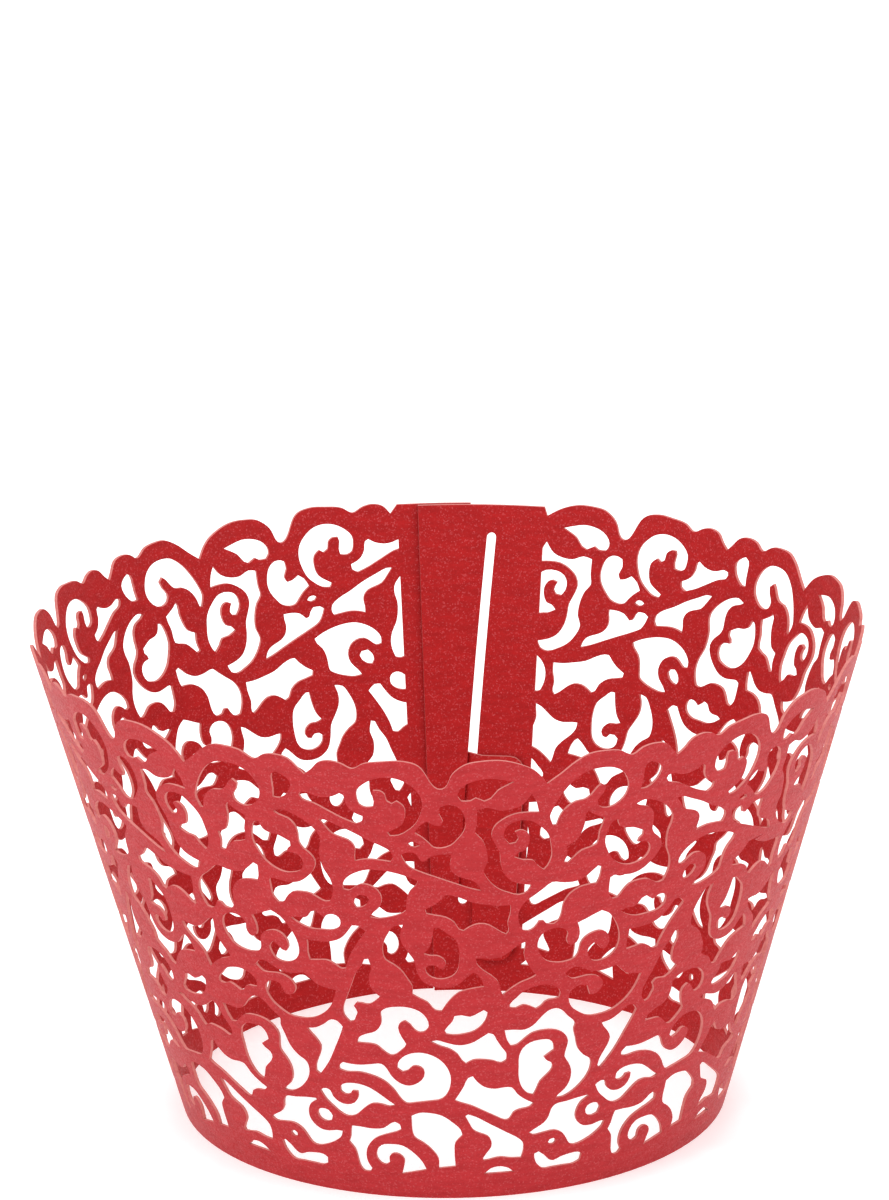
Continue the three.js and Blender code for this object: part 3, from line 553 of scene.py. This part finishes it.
half = SLIT_WIDTH / 2
straight = SLIT_TOP - SLIT_FOOT - SLIT_WIDTH
levels = [SLIT_FOOT + half + step * straight / SIDE_STEPS for step in range(SIDE_STEPS + 1)]
slit = [beside_seam(half * sin(radians(turn)), SLIT_FOOT + half - half * cos(radians(turn)))
        for turn in ROUND_END]
slit += [beside_seam(half, up) for up in levels]
slit += [beside_seam(half * sin(radians(turn)), SLIT_TOP - half + half * cos(radians(turn)))
         for turn in reversed(ROUND_END)]
slit += [beside_seam(-half, up) for up in reversed(levels)]
print("The slit is", round(SLIT_TOP - SLIT_FOOT, 1), "mm long")

# %% The tab, as the outer end of the outline
LAYER_GAP = 0.3
LAYER = CARD + LAYER_GAP
OUTER_END_SETBACK = 2.5
NECK_CLEARANCE = 1.5
NECK_HEIGHT = 14
NECK_FOOT = SLIT_FOOT + NECK_CLEARANCE
NECK_TOP = NECK_FOOT + NECK_HEIGHT
TAB_LENGTH = 5
TAB_HOOK = 7
TAB_CORNER = 1.6
PANEL_BELOW_TIPS = 0.4
PANEL_TOP = SLANT - PANEL_BELOW_TIPS
PANEL_END = 94
ARC_HANDLE = 0.55
ARC_POINTS = 5


def rounded(corners, radius):
    """Replaces the inner points of an open line by small arcs."""
    spots = [Vector(corner) for corner in corners]
    line = [spots[0]]
    for before, here, after in zip(spots, spots[1:], spots[2:]):
        near, far = (before - here), (after - here)
        reach = min(radius, near.length / 2, far.length / 2)
        first, last = here + near.normalized() * reach, here + far.normalized() * reach
        handle_in, handle_out = first.lerp(here, ARC_HANDLE), last.lerp(here, ARC_HANDLE)
        line += interpolate_bezier(first, handle_in, handle_out, last, ARC_POINTS)
    return [tuple(spot[:2]) for spot in line] + [tuple(spots[-1][:2])]


hook_foot = NECK_FOOT - TAB_HOOK
neck_side = LAYER + SLIT_WIDTH / 2
tab_end = LAYER + TAB_LENGTH
tongue = rounded([(-OUTER_END_SETBACK, NECK_FOOT), (neck_side, NECK_FOOT), (neck_side, hook_foot),
                  (tab_end, hook_foot), (tab_end, NECK_TOP), (-OUTER_END_SETBACK, NECK_TOP)],
                 TAB_CORNER)
outer_end = [(-OUTER_END_SETBACK, 0), *tongue, (-OUTER_END_SETBACK, PANEL_TOP)]
outer_end = [one_turn_back(beside_seam(-width, up)) for width, up in outer_end]
print(len(outer_end), "points round the tab")

# %% The whole outline
scallops = [placed(point, repeat) for repeat in range(FIRST_REPEAT, LAST_REPEAT + 1)
            for point in SCALLOPS]
margin = turn_of(CARD, SLANT)
scallops = [point for point in scallops
            if OUTER_LATTICE + margin < point[0] < PANEL_LATTICE - margin]
outline = [
    (PANEL_END, 0), *outer_end, (OUTER_LATTICE, PANEL_TOP), *smoothed(scallops, closed=False),
    (PANEL_LATTICE, PANEL_TOP), (PANEL_END, PANEL_TOP),
]
print(len(outline), "points in the outline")

# %% [markdown]
# ## Fill the cut lines
# A flat curve in Blender fills what lies inside it and leaves its inner loops open, just as the
# laser does. The drawing is laid out as a plain strip, with the turn running along X, and is made
# a mesh. Straight cuts every few degrees let the strip bend later.

# %% The flat sheet as a filled curve
STRIP = 0.6


def add_loop(curve, loop):
    spline = curve.splines.new("POLY")
    spline.points.add(len(loop) - 1)
    for spot, (turn, up) in zip(spline.points, loop):
        spot.co = (turn * STRIP, up, 0, 1)
    spline.use_cyclic_u = True


cut_lines = bpy.data.curves.new("wrapper_sheet", "CURVE")
cut_lines.dimensions = "2D"
cut_lines.fill_mode = "FRONT"
for loop in [outline, slit, *holes]:
    add_loop(cut_lines, loop)
wrapper_sheet = bpy.data.objects.new("wrapper_sheet", cut_lines)
bpy.context.collection.objects.link(wrapper_sheet)
bpy.ops.object.select_all(action="DESELECT")
wrapper_sheet.select_set(True)
bpy.context.view_layer.objects.active = wrapper_sheet
bpy.ops.object.convert(target="MESH")
wrapper_sheet = bpy.context.object
print(len(wrapper_sheet.data.polygons), "faces in the filled sheet")

# %% Cut it across every few degrees, and along the creases of the neck
BEND_STEP = 3
FIRST_BEND = -276
SAME_POINT = 0.0001


def cut_across(place, normal):
    bpy.ops.mesh.select_all(action="SELECT")
    bpy.ops.mesh.bisect(plane_co=place, plane_no=normal)


bpy.ops.object.mode_set(mode="EDIT")
bpy.ops.mesh.select_all(action="SELECT")
bpy.ops.mesh.remove_doubles(threshold=SAME_POINT)
for turn in range(FIRST_BEND, int(PANEL_END), BEND_STEP):
    cut_across((turn * STRIP, 0, 0), (1, 0, 0))
for width in (LAYER, LAYER / 2, -LAYER / 2, -LAYER):
    foot, top = [one_turn_back(beside_seam(width, up)) for up in (NECK_FOOT, NECK_TOP)]
    run = Vector(((top[0] - foot[0]) * STRIP, top[1] - foot[1], 0))
    cut_across((foot[0] * STRIP, foot[1], 0), (run.y, -run.x, 0))
bpy.ops.mesh.select_all(action="SELECT")
bpy.ops.mesh.normals_make_consistent(inside=False)
bpy.ops.object.mode_set(mode="OBJECT")
print(len(wrapper_sheet.data.polygons), "faces after the cuts")

# %% [markdown]
# ## Thickness first, then the roll
# Solidify gives the card its 0.3 mm while it is still flat, with the cut edges as faces of their
# own. It also gives the outer face, the inner face and the cut edges different materials. Then
# each point is rolled: X becomes the turn, Y the way up the side, and Z how far it stands out.

# %% Give the flat sheet its thickness
for name in ("pearl_outside", "pearl_inside", "cut_edge"):
    wrapper_sheet.data.materials.append(bpy.data.materials.new(name))
solidify = wrapper_sheet.modifiers.new("card", "SOLIDIFY")
solidify.thickness = CARD
solidify.offset = 0
solidify.material_offset = 1
solidify.material_offset_rim = 2
bpy.ops.object.modifier_apply(modifier=solidify.name)
print(len(wrapper_sheet.data.polygons), "faces with both sides and the cut edges")

# %% Roll the sheet, with its outer end lying over the panel
OUTER_RISE = 28
CREASE_ANGLE = radians(30)
MM = 0.001


def smooth_step(share):
    share = min(max(share, 0), 1)
    return share * share * (3 - 2 * share)


def layer_offset(turn, up):
    """How far the card lies outside the plain cone."""
    past = seam_turn(up) - FULL_TURN - turn
    bend = turn_of(LAYER, up)
    if past > -bend:
        return min(max(-past / bend, -1), 1) * LAYER
    return smooth_step((OUTER_LATTICE + OUTER_RISE - turn) / OUTER_RISE) * LAYER


def rolled(spot):
    turn, up = spot.x / STRIP, spot.y
    radius = radius_at(up) + layer_offset(turn, up) + spot.z
    angle = radians(turn)
    return Vector((radius * cos(angle), radius * sin(angle), up * HEIGHT / SLANT)) * MM


for vertex in wrapper_sheet.data.vertices:
    vertex.co = rolled(vertex.co)
wrapper_sheet.data.update()
bpy.ops.object.shade_smooth_by_angle(angle=CREASE_ANGLE)
print("Rolled; size in mm:", [round(1000 * side, 1) for side in wrapper_sheet.dimensions])

# %% Put it in the frame
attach(wrapper_sheet, "root")
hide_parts("wrapper")
print("The fine sheet takes the place of the CAD solid")

# %% [markdown]
# ## The finish of the card
# Pearl card is dyed paper with a thin coat of mica. Seen close it has faint fibres, a fine pebbled
# grain and small specks where a flake faces the light, and it turns paler and pinker where it
# catches the light at a low angle. The fibres and the grain come from noise, and the specks from
# Voronoi cells that each get chance values. The pale colour of the specks is a painted glint in
# the base colour; the gloss and tilt of each flake are real. The pale glow at a low angle is the
# shader's own: it only needs a fairly rough surface with a share of metal, as mica has.

# %% A helper that adds nodes
def add_node(tree, kind, values=None, **settings):
    node = tree.nodes.new(kind)
    for name, value in settings.items():
        setattr(node, name, value)
    for name, value in (values or {}).items():
        node.inputs[name].default_value = value
    return node


def shader_of(material):
    material.use_nodes = True
    return material.node_tree, material.node_tree.nodes["Principled BSDF"]


print("Materials to finish:", [material.name for material in wrapper_sheet.data.materials])

# %% The pearl face
GLOSS_SPREAD = 0.12


def pearl(material, deep, light, flake_glint_colour, flake_glint_share, metallic, roughness):
    tree, shader = shader_of(material)
    link = tree.links.new
    place = add_node(tree, "ShaderNodeTexCoord").outputs["Object"]

    # Fibres run round the wrapper, so the noise is squeezed upwards.
    squeezed = add_node(tree, "ShaderNodeMapping", {"Scale": (1, 1, 4)})
    fibres = add_node(tree, "ShaderNodeTexNoise", {"Scale": 420, "Detail": 6, "Roughness": 0.7})
    fibre_share = add_node(tree, "ShaderNodeMapRange", {"From Min": 0.36, "From Max": 0.64})
    shade = add_node(tree, "ShaderNodeMix", {"A": deep, "B": light}, data_type="RGBA")
    link(place, squeezed.inputs["Vector"])
    link(squeezed.outputs["Vector"], fibres.inputs["Vector"])
    link(fibres.outputs["Fac"], fibre_share.inputs["Value"])
    link(fibre_share.outputs["Result"], shade.inputs["Factor"])

    # Each flake is one Voronoi cell, and its colour gives it three chance values.
    flakes = add_node(tree, "ShaderNodeTexVoronoi", {"Scale": 7500})
    chance = add_node(tree, "ShaderNodeSeparateColor")
    # A share of the cells gets a pale pink base colour: a painted glint of flakes facing the
    # light.
    bright = add_node(tree, "ShaderNodeMapRange",
                      {"From Min": 0.8, "From Max": 1, "To Max": flake_glint_share})
    painted_glints = add_node(tree, "ShaderNodeMix", {"B": flake_glint_colour}, data_type="RGBA")
    link(place, flakes.inputs["Vector"])
    link(flakes.outputs["Color"], chance.inputs["Color"])
    link(chance.outputs["Red"], bright.inputs["Value"])
    link(bright.outputs["Result"], painted_glints.inputs["Factor"])
    link(shade.outputs["Result"], painted_glints.inputs["A"])
    link(painted_glints.outputs["Result"], shader.inputs["Base Color"])

    # Some flakes are glossier than others, and each tilts a little on a pebbled ground.
    gloss = add_node(tree, "ShaderNodeMapRange",
                     {"To Min": roughness + GLOSS_SPREAD, "To Max": roughness - GLOSS_SPREAD})
    grain = add_node(tree, "ShaderNodeTexNoise", {"Scale": 1900, "Detail": 3, "Roughness": 0.55})
    pebbles = add_node(tree, "ShaderNodeBump", {"Strength": 0.3, "Distance": 0.0001})
    tilt = add_node(tree, "ShaderNodeBump", {"Strength": 0.12, "Distance": 0.00006})
    link(chance.outputs["Green"], gloss.inputs["Value"])
    link(gloss.outputs["Result"], shader.inputs["Roughness"])
    link(place, grain.inputs["Vector"])
    link(grain.outputs["Fac"], pebbles.inputs["Height"])
    link(chance.outputs["Blue"], tilt.inputs["Height"])
    link(pebbles.outputs["Normal"], tilt.inputs["Normal"])
    link(tilt.outputs["Normal"], shader.inputs["Normal"])

    shader.inputs["Metallic"].default_value = metallic
    shader.inputs["Specular IOR Level"].default_value = 0.35
    print(material.name, "has", len(tree.nodes), "nodes")


pearl_outside, pearl_inside, cut_edge = wrapper_sheet.data.materials
# The pale speck colours below are painted glints of the mica flakes, stronger on the inside face.
pearl(pearl_outside, deep=(0.36, 0.007, 0.011, 1), light=(0.43, 0.013, 0.018, 1),
      flake_glint_colour=(0.85, 0.30, 0.32, 1), flake_glint_share=0.12, metallic=0.2, roughness=0.55)
pearl(pearl_inside, deep=(0.37, 0.001, 0.002, 1), light=(0.45, 0.003, 0.004, 1),
      flake_glint_colour=(0.80, 0.18, 0.20, 1), flake_glint_share=0.26, metallic=0.2, roughness=0.55)

# %% [markdown]
# ## The cut edge
# The laser leaves the edge matt and paler than the face, because it shows the dyed core of the
# card without its coat. That thin pale line is what draws every hole.

# %% The pale core of the card
tree, shader = shader_of(cut_edge)
link = tree.links.new
place = add_node(tree, "ShaderNodeTexCoord").outputs["Object"]
fibres = add_node(tree, "ShaderNodeTexNoise", {"Scale": 2600, "Detail": 4})
core = add_node(tree, "ShaderNodeMix", {"A": (0.46, 0.08, 0.07, 1), "B": (0.70, 0.26, 0.235, 1)},
                data_type="RGBA")
link(place, fibres.inputs["Vector"])
link(fibres.outputs["Fac"], core.inputs["Factor"])
link(core.outputs["Result"], shader.inputs["Base Color"])
rough_cut = add_node(tree, "ShaderNodeBump", {"Strength": 0.3, "Distance": 0.00005})
link(fibres.outputs["Fac"], rough_cut.inputs["Height"])
link(rough_cut.outputs["Normal"], shader.inputs["Normal"])
shader.inputs["Roughness"].default_value = 0.8
print(cut_edge.name, "has", len(tree.nodes), "nodes")

# %% [markdown]
# ## Floor and light
# The wrapper stands on a white sweep under large soft lamps. The floor is a wide pale plane, and
# a bright world keeps the shadows faint.

# %% Floor
bpy.ops.object.select_all(action="DESELECT")
bpy.ops.mesh.primitive_plane_add(size=6, location=(0, 0, 0))
floor_plane = bpy.context.object
floor_plane.name = "floor"
floor_paper = bpy.data.materials.new("floor_paper")
_, floor_shader = shader_of(floor_paper)
floor_shader.inputs["Base Color"].default_value = (0.92, 0.92, 0.92, 1)
floor_shader.inputs["Roughness"].default_value = 0.75
floor_shader.inputs["Emission Color"].default_value = (1, 1, 1, 1)
floor_shader.inputs["Emission Strength"].default_value = 0.3
floor_plane.data.materials.append(floor_paper)
print("Floor", round(floor_plane.dimensions.x, 1), "m wide")

# %% Lamps and world
def soft_lamp(name, place, size, watts):
    lamp = bpy.data.lights.new(name, "AREA")
    lamp.size = size
    lamp.energy = watts
    lamp_object = bpy.data.objects.new(name, lamp)
    lamp_object.location = place
    lamp_object.rotation_euler = (-Vector(place)).to_track_quat("-Z", "Y").to_euler()
    bpy.context.collection.objects.link(lamp_object)


soft_lamp("lamp_left", place=(-0.7, -0.5, 0.9), size=0.6, watts=4)
soft_lamp("lamp_right", place=(0.8, -0.4, 0.7), size=0.6, watts=2)
soft_lamp("lamp_back", place=(0.1, 0.8, 0.9), size=0.5, watts=2)
world = bpy.data.worlds.new("studio")
world.use_nodes = True
world.node_tree.nodes["Background"].inputs["Color"].default_value = (1, 1, 1, 1)
world.node_tree.nodes["Background"].inputs["Strength"].default_value = 1
bpy.context.scene.world = world
bpy.context.scene.view_settings.view_transform = "Standard"
print("Three soft lamps and a pale world")
